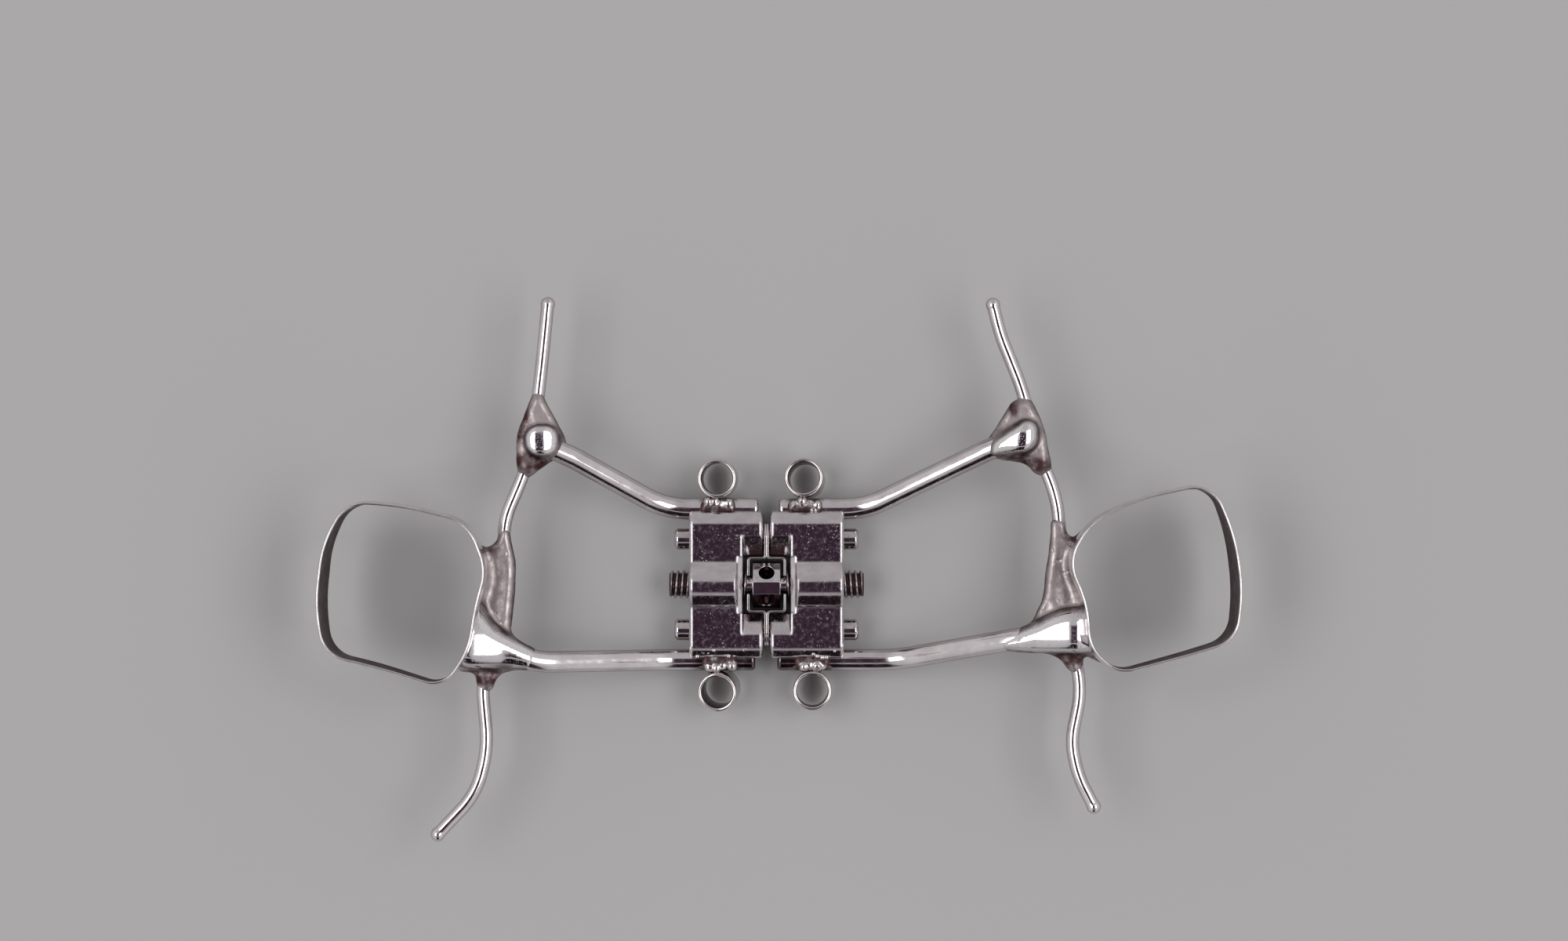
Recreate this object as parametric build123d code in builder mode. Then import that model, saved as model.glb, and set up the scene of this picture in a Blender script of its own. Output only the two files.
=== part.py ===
from build123d import *
from math import cos, radians, sin, sqrt, tan
import os

# Banded palatal expander, in millimetres. X is the direction of opening, with the wearer's
# teeth bands at its two ends, +Y is the front of the mouth, and +Z points away from the
# palate. The origin is the middle of the expansion screw, where its two key holes cross.

os.makedirs("parts", exist_ok=True)

# Expansion screw: one spindle with a thread of each hand, turned by a key
thread_dia = 2.0
spindle_length = 13.6
thread_start = 1.4
neck_dia = 1.2
head_width = 2.83
head_length = 1.92
head_corner = 0.6
key_hole_dia = 1.1
key_tilt = 37
thread_clearance = 0.03
end_chamfer = 0.2

# Guide pins, one each side of the screw
pin_dia = 1.5
pin_length = 12.9
pin_y = 3.18
pin_clearance = 0.03

# Housings: the two halves of the body that the screw drives apart
housing_gap = 0.5
housing_length = 5.15
housing_half_width = 5.14
housing_base = 2.0
housing_top = 1.25
shoulder_radius = 1.04
boss_radius = 2.0
base_fillet = 0.6
edge_break = 0.16
pocket_x = 1.66
pocket_half_width = 2.05
window_x = 2.04
window_half_width = 1.95
window_slope = 10
window_ledge_drop = 0.25
scoop_x = 1.65
scoop_break = 0.1
scoop_radius = 5.4
scoop_half_width = 3.43

# Centre clip: two bent strips that hold the head between them
strip_thickness = 0.15
strip_height = 2.4
strip_bend = 0.22
clip_half_length = 1.35
clip_half_width = 1.94
neck_clearance = 0.03

# Arms: round rods soldered in the housings' side grooves
arm_dia = 1.5
arm_stand_out = 0.14
arm_bend = 5.0
arm_end_z = 4.45
arm_chamfer = 0.15
groove_clearance = 0.02

# Tubes for the miniscrews, welded to the outside of the arms
tube_dia = 2.7
tube_wall = 0.25
tube_length = 2.5
tube_clearance = 0.02
weld_radius = 1.2
weld_half_thickness = 0.75
weld_over_arm = 0.35

# Palatal bars: one wire along each side's teeth
bar_dia = 0.9
bar_tip_dia = 1.0
bar_z = 3.2

# Molar bands: thin sleeves, widest at mid height and curved up between the teeth
band_wall = 0.18
band_low = 2.2
band_high = 7.0
band_belly = 4.8
belly_low_scale = 0.955
belly_high_scale = 0.985
band_festoon_radius = 16.0
band_trim = 0.1

# Solder joints
web_low = 2.85
web_high = 4.0
web_fillet = 0.25
ball_radius = {"front": 1.05, "rear": 1.25}
horn_length = 2.2
horn_tip_radius = 0.85

# Each arm: x of its inner end, x where it turns out of the groove, its second bend and its
# far end. Its tube: x, and how far the palatal end of the tube leans out of plumb.
arms = {
    ("front", "left"): {
        "inner_x": -0.57,
        "exit_x": -7.05,
        "bend": (-13.4, 8.87, 3.4),
        "end": (-15.6, 9.88, arm_end_z),
        "tube_x": -3.40,
        "lean": (0.15, -0.05),
    },
    ("front", "right"): {
        "inner_x": 0.87,
        "exit_x": 6.85,
        "bend": (15.2, 9.32, 3.5),
        "end": (17.87, 10.42, arm_end_z),
        "tube_x": 2.69,
        "lean": (0.20, -0.25),
    },
    ("rear", "left"): {
        "inner_x": -0.79,
        "exit_x": -7.0,
        "bend": (-16.3, -5.25, 4.4),
        "end": (-19.4, -3.6, arm_end_z),
        "tube_x": -3.31,
        "lean": (0.31, 0.22),
    },
    ("rear", "right"): {
        "inner_x": 0.75,
        "exit_x": 9.0,
        "bend": (17.5, -3.6, 4.4),
        "end": (21.5, -2.98, arm_end_z),
        "tube_x": 3.20,
        "lean": (0.0, 0.0),
    },
}

# Corners of the bars' bends from front to rear, seen along Z
bar_routes = {
    "left": [
        (-15.15, 19.5), (-15.5, 15.8), (-16.3, 8.9), (-18.35, 4.1), (-17.8, 0.6),
        (-18.2, -2.8), (-19.75, -6.3), (-19.3, -11.2), (-20.1, -14.4), (-22.76, -17.21),
    ],
    "right": [
        (15.7, 19.45), (16.2, 17.4), (17.85, 13.3), (18.5, 10.0), (20.1, 6.2), (20.4, 3.0),
        (19.6, -0.4), (21.1, -3.9), (21.85, -7.1), (21.1, -10.8), (21.6, -13.2), (22.68, -15.3),
    ],
}

# Corners of the bands' widest outlines, seen along Z, from the front round by the cheek side
band_outlines = {
    "left": [
        (-25.0, 5.75), (-28.8, 6.0), (-30.5, 3.0), (-31.0, -1.2), (-30.4, -4.8), (-26.8, -5.6),
        (-22.0, -7.05), (-20.2, -4.4), (-19.75, -1.4), (-19.0, 1.2), (-20.3, 4.6),
    ],
    "right": [
        (25.4, 6.2), (30.6, 7.3), (32.2, 3.6), (32.75, -0.2), (32.3, -3.8), (29.0, -4.8),
        (24.0, -6.1), (22.0, -4.3), (21.8, -1.2), (20.5, 1.8), (22.0, 4.5),
    ],
}

# Corners of the solder webs, seen along Z: the front ones join arm and bar, and the rear ones
# join arm, bar and band
web_outlines = {
    ("front", "left"): [
        (-15.7, 13.6), (-17.3, 10.1), (-17.3, 8.3), (-16.5, 7.4), (-14.5, 9.1), (-14.2, 10.5),
    ],
    ("front", "right"): [
        (17.6, 13.5), (15.2, 9.9), (16.0, 8.7), (18.4, 8.4), (19.2, 7.3), (19.6, 9.6), (18.6, 12.6),
    ],
    ("rear", "left"): [
        (-18.4, 4.0), (-20.9, 3.4), (-20.6, -1.0), (-21.4, -5.8), (-19.7, -6.2), (-19.2, -7.2),
        (-18.5, -6.2), (-16.9, -6.0), (-16.4, -4.6), (-17.8, -3.0), (-17.6, 0.5),
    ],
    ("rear", "right"): [
        (20.5, 4.2), (22.9, 3.8), (22.5, -0.5), (23.6, -5.2), (21.8, -5.2), (21.2, -6.3),
        (20.2, -4.8), (18.3, -4.4), (18.0, -2.7), (19.4, -0.1),
    ],
}

half_gap = housing_gap / 2
shoulder_start = housing_half_width - shoulder_radius
arm_y = housing_half_width + arm_stand_out
tube_chamfer = tube_wall / 3
clip_inner_x = clip_half_length - strip_thickness
boss_foot = sqrt(boss_radius**2 - housing_top**2)
scoop_z = housing_top + sqrt(scoop_radius**2 - scoop_half_width**2)
groove_radius = arm_dia / 2 + groove_clearance
groove_rise = sqrt(groove_radius**2 - (arm_y - housing_half_width) ** 2)
tube_y = arm_y + arm_dia / 2 + tube_clearance + tube_dia / 2
weld_y = arm_y + arm_dia / 2 - weld_over_arm


def write(piece, name):
    """Label a finished piece with its name and write its STEP file."""
    piece.part.label = name
    export_step(piece.part, f"parts/{name}.step")


def largest_radii(route):
    """Bend radius at each inner corner of a route, as large as its two runs allow."""
    radii = []
    for before, corner, after in zip(route, route[1:], route[2:]):
        run_in = Vector(*corner) - Vector(*before)
        run_out = Vector(*after) - Vector(*corner)
        half_turn = radians(run_in.get_angle(run_out)) / 2
        radii.append(0.45 * min(run_in.length, run_out.length) / tan(half_turn))
    return radii


def rounded_loop(corners):
    """A closed outline with an arc at every corner, as large as the two sides allow."""
    radii = largest_radii([corners[-1], *corners, corners[0]])
    return FilletPolyline(corners, radius=radii, close=True)


def scaled(outline, centre, size):
    """An outline's points, scaled about its centre."""
    return [
        (centre[0] + size * (x - centre[0]), centre[1] + size * (y - centre[1])) for x, y in outline
    ]


# Housings
with BuildPart() as right_housing:
    with BuildSketch(Plane.YZ.offset(half_gap)) as section:
        with BuildLine():
            boss_angle = 90 - Vector(boss_foot, housing_top).get_angle(Vector(0, 1))
            CenterArc((0, 0), boss_radius, boss_angle, 90 - boss_angle)
            Line((boss_foot, housing_top), (shoulder_start, housing_top))
            TangentArc(
                (shoulder_start, housing_top), (housing_half_width, groove_rise), tangent=(1, 0)
            )
            Line((housing_half_width, groove_rise), (housing_half_width, -housing_base))
            Line((housing_half_width, -housing_base), (0, -housing_base))
            mirror(about=Plane.YZ)
        make_face()
        with Locations((arm_y, 0), (-arm_y, 0)):
            Circle(groove_radius, mode=Mode.SUBTRACT)
        fillet(section.vertices().group_by(Axis.Y)[0].sort_by(Axis.X)[0::2], base_fillet)
    extrude(amount=housing_length)
    chamfer(right_housing.faces().filter_by(Axis.X).edges(), edge_break)
    with BuildSketch(Plane.YZ):
        Circle(thread_dia / 2 + thread_clearance)
        with Locations((pin_y, 0), (-pin_y, 0)):
            Circle(pin_dia / 2 + pin_clearance)
    extrude(amount=2 * housing_length, mode=Mode.SUBTRACT)
    with BuildSketch(Plane.YZ):
        with Locations((0, scoop_z)):
            Circle(scoop_radius)
    extrude(amount=scoop_x, mode=Mode.SUBTRACT)
    with BuildSketch(Plane.XY):
        Rectangle(2 * pocket_x, 2 * pocket_half_width)
    extrude(amount=2 * housing_base, both=True, mode=Mode.SUBTRACT)
    with BuildSketch(Plane.XZ):
        with BuildLine():
            boss_rise = boss_radius - housing_top
            Polyline(
                (0, housing_top - window_ledge_drop),
                (pocket_x, housing_top - window_ledge_drop),
                (window_x, housing_top),
                (window_x + boss_rise * tan(radians(window_slope)), boss_radius),
                (0, boss_radius),
                close=True,
            )
        make_face()
    extrude(amount=window_half_width, both=True, mode=Mode.SUBTRACT)
    with BuildSketch(Plane.XZ):
        with Locations((scoop_x, housing_top)):
            Rectangle(sqrt(2) * scoop_break, sqrt(2) * scoop_break, rotation=45)
    extrude(amount=scoop_half_width, both=True, mode=Mode.SUBTRACT)
write(right_housing, "right_housing")

with BuildPart() as left_housing:
    mirror(right_housing.part, about=Plane.YZ)
write(left_housing, "left_housing")

# Spindle
with BuildPart() as spindle:
    with BuildSketch(Plane.XY):
        with BuildLine():
            Polyline(
                (0, 0),
                (0, neck_dia / 2),
                (thread_start, neck_dia / 2),
                (thread_start, thread_dia / 2),
                (spindle_length / 2 - end_chamfer, thread_dia / 2),
                (spindle_length / 2, thread_dia / 2 - end_chamfer),
                (spindle_length / 2, 0),
                close=True,
            )
        make_face()
        mirror(about=Plane.YZ)
    revolve(axis=Axis.X)
    with BuildSketch(Plane.YZ):
        head = Rectangle(head_width, head_width, rotation=-key_tilt)
        chamfer(head.vertices(), head_corner)
    extrude(amount=head_length / 2, both=True)
    for turn in (key_tilt, key_tilt + 90):
        with BuildSketch(Plane((0, 0, 0), z_dir=(0, sin(radians(turn)), cos(radians(turn))))):
            Circle(key_hole_dia / 2)
        extrude(amount=head_width, both=True, mode=Mode.SUBTRACT)
write(spindle, "spindle")

# Guide pins
for name, y in (("front_guide_pin", pin_y), ("rear_guide_pin", -pin_y)):
    with BuildPart() as pin:
        with BuildSketch(Plane.YZ):
            with Locations((y, 0)):
                Circle(pin_dia / 2)
        extrude(amount=pin_length / 2, both=True)
        chamfer(pin.edges().filter_by(GeomType.CIRCLE), end_chamfer)
    write(pin, name)

# Centre clip
with BuildPart() as right_clip_strip:
    tail_end = pin_y + strip_height / 2
    with BuildSketch(Plane.XY.offset(-strip_height / 2)):
        with BuildLine():
            tail_x = strip_thickness / 2
            wall_x = clip_half_length - strip_thickness / 2
            wall_y = clip_half_width - strip_thickness / 2
            FilletPolyline(
                (tail_x, -tail_end),
                (tail_x, -wall_y),
                (wall_x, -wall_y),
                (wall_x, wall_y),
                (tail_x, wall_y),
                (tail_x, tail_end),
                radius=strip_bend,
            )
        trace(line_width=strip_thickness)
    extrude(amount=strip_height)
    with BuildSketch(Plane.YZ):
        SlotCenterToCenter(2 * pin_y, strip_height)
        with Locations((pin_y, 0), (-pin_y, 0)):
            Circle(pin_dia / 2, mode=Mode.SUBTRACT)
    extrude(amount=2 * clip_half_length, mode=Mode.INTERSECT)
    with BuildSketch(Plane.YZ.offset(clip_inner_x / 2)):
        notch_radius = neck_dia / 2 + neck_clearance
        Circle(notch_radius)
        Rectangle(2 * notch_radius, strip_height, align=(Align.CENTER, Align.MIN))
    extrude(amount=clip_half_length, mode=Mode.SUBTRACT)
write(right_clip_strip, "right_clip_strip")

with BuildPart() as left_clip_strip:
    mirror(right_clip_strip.part, about=Plane.YZ)
write(left_clip_strip, "left_clip_strip")

# Palatal bars
bars = {}
for side, route in bar_routes.items():
    with BuildPart() as bar:
        with BuildLine() as path:
            FilletPolyline([(x, y, bar_z) for x, y in route], radius=largest_radii(route))
        with BuildSketch(Plane(path.line @ 0, z_dir=path.line % 0)):
            Circle(bar_dia / 2)
        sweep()
        with Locations(path.line @ 0, path.line @ 1):
            Sphere(bar_tip_dia / 2)
    write(bar, f"{side}_palatal_bar")
    bars[side] = bar.part

# Molar bands
band_fills = {}
for side, outline in band_outlines.items():
    centre = (sum(x for x, y in outline) / len(outline), sum(y for x, y in outline) / len(outline))
    levels = (
        (band_low, belly_low_scale),
        (band_belly, 1.0),
        (band_high, belly_high_scale),
    )
    with BuildPart() as fill:
        for level, size in levels:
            with BuildSketch(Plane.XY.offset(level)):
                with BuildLine():
                    rounded_loop(scaled(outline, centre, size))
                make_face()
        loft()
    band_fills[side] = fill.part
    with BuildPart() as band:
        add(fill.part)
        for level, size in levels:
            with BuildSketch(Plane.XY.offset(level)):
                with BuildLine():
                    rounded_loop(scaled(outline, centre, size))
                make_face()
                offset(amount=-band_wall, mode=Mode.REPLACE)
        loft(mode=Mode.SUBTRACT)
        with BuildSketch(Plane.YZ.offset(centre[0])):
            with Locations((centre[1], band_low + band_trim + band_festoon_radius)):
                Circle(band_festoon_radius)
        extrude(amount=band_festoon_radius, both=True, mode=Mode.INTERSECT)
    write(band, f"{side}_band")

# Arms, with their tubes and weld beads
arm_parts = {}
arm_backs = {}
for (end, side), arm in arms.items():
    front = 1 if end == "front" else -1
    groove_y = front * arm_y
    route = [(arm["inner_x"], groove_y, 0), (arm["exit_x"], groove_y, 0), arm["bend"], arm["end"]]
    with BuildPart() as rod:
        with BuildLine() as path:
            FilletPolyline(route, radius=arm_bend)
        with BuildSketch(Plane(path.line @ 0, z_dir=path.line % 0)):
            Circle(arm_dia / 2)
        sweep()
        inner_end = rod.faces().filter_by(Axis.X)[0]
        chamfer(inner_end.edges(), arm_chamfer)
    write(rod, f"{end}_{side}_arm")
    arm_parts[end, side] = rod.part
    arm_backs[end, side] = -(path.line % 1)

    lean_x, lean_y = arm["lean"]
    tube_plane = Plane(
        (arm["tube_x"], front * tube_y, 0), z_dir=(-lean_x, -lean_y, tube_length)
    )
    with BuildPart() as tube:
        with BuildSketch(tube_plane):
            Circle(tube_dia / 2)
            Circle(tube_dia / 2 - tube_wall, mode=Mode.SUBTRACT)
        extrude(amount=tube_length / 2, both=True)
        chamfer(tube.edges().filter_by(GeomType.CIRCLE), tube_chamfer)
    write(tube, f"{end}_{side}_tube")

    with BuildPart() as weld:
        with BuildSketch(Plane.XY):
            with Locations((arm["tube_x"], front * weld_y)):
                Ellipse(weld_radius, weld_half_thickness)
                Rectangle(
                    weld_radius,
                    2 * weld_half_thickness,
                    align=(Align.MAX, Align.CENTER),
                    mode=Mode.SUBTRACT,
                )
        revolve(axis=Axis((arm["tube_x"], 0, 0), (0, 1, 0)))
        add(rod.part, mode=Mode.SUBTRACT)
        add(right_housing.part if side == "right" else left_housing.part, mode=Mode.SUBTRACT)
        with BuildSketch(tube_plane):
            Circle(tube_dia / 2)
        extrude(amount=tube_length, both=True, mode=Mode.SUBTRACT)
    write(weld, f"{end}_{side}_tube_weld")

# Solder joints: a soft-edged web, with a ball over the arm's end and a horn back along the arm
for (end, side), outline in web_outlines.items():
    with BuildPart() as solder:
        with BuildSketch(Plane.XY.offset(web_low)):
            with BuildLine():
                rounded_loop(outline)
            make_face()
        extrude(amount=web_high - web_low)
        fillet(solder.faces().filter_by(Axis.Z).edges(), web_fillet)
        with Locations(Plane(arms[end, side]["end"], z_dir=arm_backs[end, side])):
            Sphere(ball_radius[end])
            Cone(
                ball_radius[end],
                horn_tip_radius,
                horn_length,
                align=(Align.CENTER, Align.CENTER, Align.MIN),
            )
        add(bars[side], mode=Mode.SUBTRACT)
        add(arm_parts[end, side], mode=Mode.SUBTRACT)
        if end == "rear":
            add(band_fills[side], mode=Mode.SUBTRACT)
    write(solder, f"{end}_{side}_solder")
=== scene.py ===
import math

import bmesh
import bpy
import numpy as np
import openvdb
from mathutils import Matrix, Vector, noise


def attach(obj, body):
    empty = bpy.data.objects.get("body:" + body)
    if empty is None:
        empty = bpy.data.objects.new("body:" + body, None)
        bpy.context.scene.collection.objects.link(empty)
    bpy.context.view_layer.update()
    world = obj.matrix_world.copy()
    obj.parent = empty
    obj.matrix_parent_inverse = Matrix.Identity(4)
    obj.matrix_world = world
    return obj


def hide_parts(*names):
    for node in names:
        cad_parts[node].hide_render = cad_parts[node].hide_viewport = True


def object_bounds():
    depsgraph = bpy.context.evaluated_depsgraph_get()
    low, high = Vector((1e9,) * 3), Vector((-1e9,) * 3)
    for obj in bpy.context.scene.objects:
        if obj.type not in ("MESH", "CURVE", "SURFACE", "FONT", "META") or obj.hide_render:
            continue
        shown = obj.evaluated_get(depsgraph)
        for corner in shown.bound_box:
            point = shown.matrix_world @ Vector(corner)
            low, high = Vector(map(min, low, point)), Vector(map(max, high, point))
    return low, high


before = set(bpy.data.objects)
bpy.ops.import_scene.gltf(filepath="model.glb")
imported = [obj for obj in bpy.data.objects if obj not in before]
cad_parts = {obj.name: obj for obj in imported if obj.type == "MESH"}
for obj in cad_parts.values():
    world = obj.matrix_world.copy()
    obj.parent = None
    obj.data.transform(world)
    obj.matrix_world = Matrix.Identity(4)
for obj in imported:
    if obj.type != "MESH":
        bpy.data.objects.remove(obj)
cad_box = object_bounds()

# Sizes are in millimetres, as in the part's source, and a mesh is scaled as it is made
MM = 0.001

# Which way along Y each end lies
AHEAD = {"front": 1, "rear": -1}

# Wires and rods
BAR_RADIUS = 0.45
BAR_TIP_RADIUS = 0.5
BAR_Z = 3.2
BEND_SHARE = 0.45
BEND_STEPS = 12
ARM_RADIUS = 0.75
ARM_Y = 5.28
ARM_BEND = 5.0
ARM_END_Z = 4.45
ARM_CHAMFER = 0.15
WIRE_STEP = 0.12
TIP_SHARES = (0.25, 0.5, 0.75, 0.9, 0.98, 0.999)

# Tubes for the miniscrews
TUBE_RADIUS = 1.35
TUBE_BORE_RADIUS = 1.1
TUBE_LENGTH = 2.5
TUBE_RIM = 0.11
TUBE_RIM_ANGLES = (0, 30, 60, 90)
TUBE_AROUND = 96
TUBE_Y = 7.40

# Screw and housings
EDGE_WEAR = 0.19
CLIP_Y = 1.94
KEY_TILT = 37
KEY_HOLE_RADIUS = 0.55
THREAD_RADIUS = 1.0
THREAD_DEPTH = 0.2
THREAD_PITCH = 0.4
THREAD_START = 1.4
THREAD_END = 6.8
THREAD_CHAMFER = 0.2
THREAD_AROUND = 72
THREAD_ROWS_PER_TURN = 14
PIN_RADIUS = 0.75
PIN_HALF_LENGTH = 6.45
PIN_CHAMFER = 0.2
PIN_Y = 3.18
PIN_BARE_HALF_LENGTH = 1.8
HOUSING_EASE = 0.08
STRIP_EASE = 0.03
HEAD_EASE = 0.04

# Turns in degrees: an edge that is eased, one left as level, and those that break the shading
EASED_TURN = 28
LEVEL_TURN = 0.6
EASED_BREAK = 40
TURNED_BREAK = 50

# Bands
BAND_WALL = 0.18
BAND_LOW = 2.3
BAND_HIGH = 7.0
BAND_LEVELS = ((2.2, 0.955), (4.8, 1.0), (7.0, 0.985))
FESTOON_RADIUS = 16.0
BAND_ROWS = 24
BAND_RIM_TURNS = (0.8, 1.57, 2.34)

# Solder, and how softly each part of it joins the rest
FIELD_STEP = 0.06
FAR = 9.0
SOLDER_FILM = 0.03
BEAD_SINK = 0.22
BEAD_FADE = 0.9
SOFTNESS = {"pad": 0.1, "bar": 0.5, "arm": 0.7, "crown": 0.45, "film": 0.6}
FILM_REACH = (1.9, 7.0, 2.2)
WALL_BITE = 0.1
POLISH_EDGE = 0.2
POLISH_Z = 4.0
POLISH_RISE = 0.5
PAD_MIDDLE = 3.35
PAD_HALF_HEIGHT = {"front": 0.6, "rear": 0.42}
PAD_ROUNDING = {"front": 0.5, "rear": 0.36}

# Welds, and the housings' shoulders that the rear ones spatter
WELD_STEP = 0.05
WELD_STAND_OUT = 0.3
WELD_Z = 0.5
WELD_BITE = 0.12
ROOT_HALF_LENGTH = 0.85
ROOT_RADIUS = 0.52
DROP_DEPTH = 0.3
SPATTER_COUNT = 6
SPATTER_IN = (0.5, 1.1)
SHOULDER_Z = 1.1
SHOULDER_SLOPE = 0.45

# Camera: its place in millimetres, and the width it sees at the screw
CAMERA_AT = (1.22, 7.98, 280.0)
WIDTH_AT_SCREW = 109.89

# Each arm's inner end, where it leaves its groove, its second bend and its far end, and its
# tube's place and lean
ARMS = {
    ("front", "left"): {
        "inner_x": -0.57,
        "exit_x": -7.05,
        "bend": (-13.4, 8.87, 3.4),
        "end": (-15.6, 9.88, ARM_END_Z),
        "tube_x": -3.40,
        "lean": (0.15, -0.05),
    },
    ("front", "right"): {
        "inner_x": 0.87,
        "exit_x": 6.85,
        "bend": (15.2, 9.32, 3.5),
        "end": (17.87, 10.42, ARM_END_Z),
        "tube_x": 2.69,
        "lean": (0.20, -0.25),
    },
    ("rear", "left"): {
        "inner_x": -0.79,
        "exit_x": -7.0,
        "bend": (-16.3, -5.25, 4.4),
        "end": (-19.4, -3.6, ARM_END_Z),
        "tube_x": -3.31,
        "lean": (0.31, 0.22),
    },
    ("rear", "right"): {
        "inner_x": 0.75,
        "exit_x": 9.0,
        "bend": (17.5, -3.6, 4.4),
        "end": (21.5, -2.98, ARM_END_Z),
        "tube_x": 3.20,
        "lean": (0.0, 0.0),
    },
}

# Corners of the bars' bends from front to rear, seen along Z
BAR_ROUTES = {
    "left": [
        (-15.15, 19.5), (-15.5, 15.8), (-16.3, 8.9), (-18.35, 4.1), (-17.8, 0.6),
        (-18.2, -2.8), (-19.75, -6.3), (-19.3, -11.2), (-20.1, -14.4), (-22.76, -17.21),
    ],
    "right": [
        (15.7, 19.45), (16.2, 17.4), (17.85, 13.3), (18.5, 10.0), (20.1, 6.2), (20.4, 3.0),
        (19.6, -0.4), (21.1, -3.9), (21.85, -7.1), (21.1, -10.8), (21.6, -13.2), (22.68, -15.3),
    ],
}

# Corners of the bands' widest outlines, seen along Z
BAND_OUTLINES = {
    "left": [
        (-25.0, 5.75), (-28.8, 6.0), (-30.5, 3.0), (-31.0, -1.2), (-30.4, -4.8), (-26.8, -5.6),
        (-22.0, -7.05), (-20.2, -4.4), (-19.75, -1.4), (-19.0, 1.2), (-20.3, 4.6),
    ],
    "right": [
        (25.4, 6.2), (30.6, 7.3), (32.2, 3.6), (32.75, -0.2), (32.3, -3.8), (29.0, -4.8),
        (24.0, -6.1), (22.0, -4.3), (21.8, -1.2), (20.5, 1.8), (22.0, 4.5),
    ],
}


# Shader nodes
class Shader:
    """A node tree with short calls for the nodes that the materials here use."""

    def __init__(self, tree):
        self.tree = tree
        tree.nodes.clear()

    def node(self, kind, **values):
        made = self.tree.nodes.new(kind)
        for name, value in values.items():
            setattr(made, name, value)
        return made

    def wire(self, socket, value):
        """Connects a socket to another's output, or sets its value."""
        if isinstance(value, bpy.types.NodeSocket):
            self.tree.links.new(value, socket)
        else:
            socket.default_value = value

    def math(self, operation, *values):
        made = self.node("ShaderNodeMath", operation=operation)
        for socket, value in zip(made.inputs, values):
            self.wire(socket, value)
        return made.outputs[0]

    def ease(self, value, low, high, start=0.0, end=1.0):
        """A value carried smoothly from start at low to end at high."""
        made = self.node("ShaderNodeMapRange", interpolation_type="SMOOTHSTEP")
        self.wire(made.inputs["Value"], value)
        limits = {"From Min": low, "From Max": high, "To Min": start, "To Max": end}
        for name, limit in limits.items():
            self.wire(made.inputs[name], limit)
        return made.outputs["Result"]

    def blend(self, factor, first, second):
        """A mix of two colours."""
        made = self.node("ShaderNodeMix", data_type="RGBA")
        self.wire(made.inputs["Factor"], factor)
        for socket, colour in ((made.inputs[6], first), (made.inputs[7], second)):
            self.wire(socket, colour if isinstance(colour, bpy.types.NodeSocket) else (*colour, 1))
        return made.outputs[2]

    def scaled(self, vector, scale):
        """A vector scaled along each axis."""
        mapping = self.node("ShaderNodeMapping")
        self.wire(mapping.inputs["Vector"], vector)
        mapping.inputs["Scale"].default_value = scale
        return mapping.outputs["Vector"]

    def parts(self, vector):
        """A vector's x, y and z."""
        split = self.node("ShaderNodeSeparateXYZ")
        self.wire(split.inputs[0], vector)
        return split.outputs

    def coordinates(self, stretch=(1, 1, 1)):
        """Object coordinates in millimetres, stretched along each axis."""
        source = self.node("ShaderNodeTexCoord").outputs["Object"]
        return self.scaled(source, [1 / (MM * s) for s in stretch])

    def axes(self):
        """The object's own x, y and z in millimetres."""
        return self.parts(self.coordinates())

    def facing_up(self):
        """How far the surface faces up or down: 1 when level and 0 when upright."""
        normal = self.node("ShaderNodeNewGeometry").outputs["Normal"]
        return self.math("ABSOLUTE", self.parts(normal)[2])

    def along_wire(self, stretch):
        """A place on a wire in millimetres, stretched along its length."""
        source = self.node("ShaderNodeAttribute", attribute_name="wire").outputs["Vector"]
        return self.scaled(source, (1 / stretch, 1, 1))

    def noise(self, size, stretch=(1, 1, 1), detail=4.0, roughness=0.55, where=None):
        """Noise from 0 to 1 whose grains measure about size millimetres."""
        made = self.node("ShaderNodeTexNoise")
        self.wire(made.inputs["Vector"], where or self.coordinates(stretch))
        made.inputs["Scale"].default_value = 1 / size
        made.inputs["Detail"].default_value = detail
        made.inputs["Roughness"].default_value = roughness
        return made.outputs["Fac"]

    def attribute(self, name):
        return self.node("ShaderNodeAttribute", attribute_name=name).outputs["Fac"]

    def bump(self, height, depth, normal=None):
        """A bump of a height from 0 to 1 over a depth in millimetres."""
        made = self.node("ShaderNodeBump")
        made.inputs["Strength"].default_value = 1.0
        made.inputs["Distance"].default_value = depth * MM
        self.wire(made.inputs["Height"], height)
        if normal is not None:
            self.wire(made.inputs["Normal"], normal)
        return made.outputs["Normal"]

    def metal(self, colour, roughness, normal):
        """Ends the tree in a metallic surface."""
        surface = self.node("ShaderNodeBsdfPrincipled")
        surface.inputs["Metallic"].default_value = 1.0
        self.wire(surface.inputs["Base Color"], colour)
        self.wire(surface.inputs["Roughness"], roughness)
        self.wire(surface.inputs["Normal"], normal)
        output = self.node("ShaderNodeOutputMaterial")
        self.tree.links.new(surface.outputs["BSDF"], output.inputs["Surface"])


def material(name):
    """A new material and the shader that fills it."""
    made = bpy.data.materials.new(name)
    made.use_nodes = True
    return made, Shader(made.node_tree)


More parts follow.
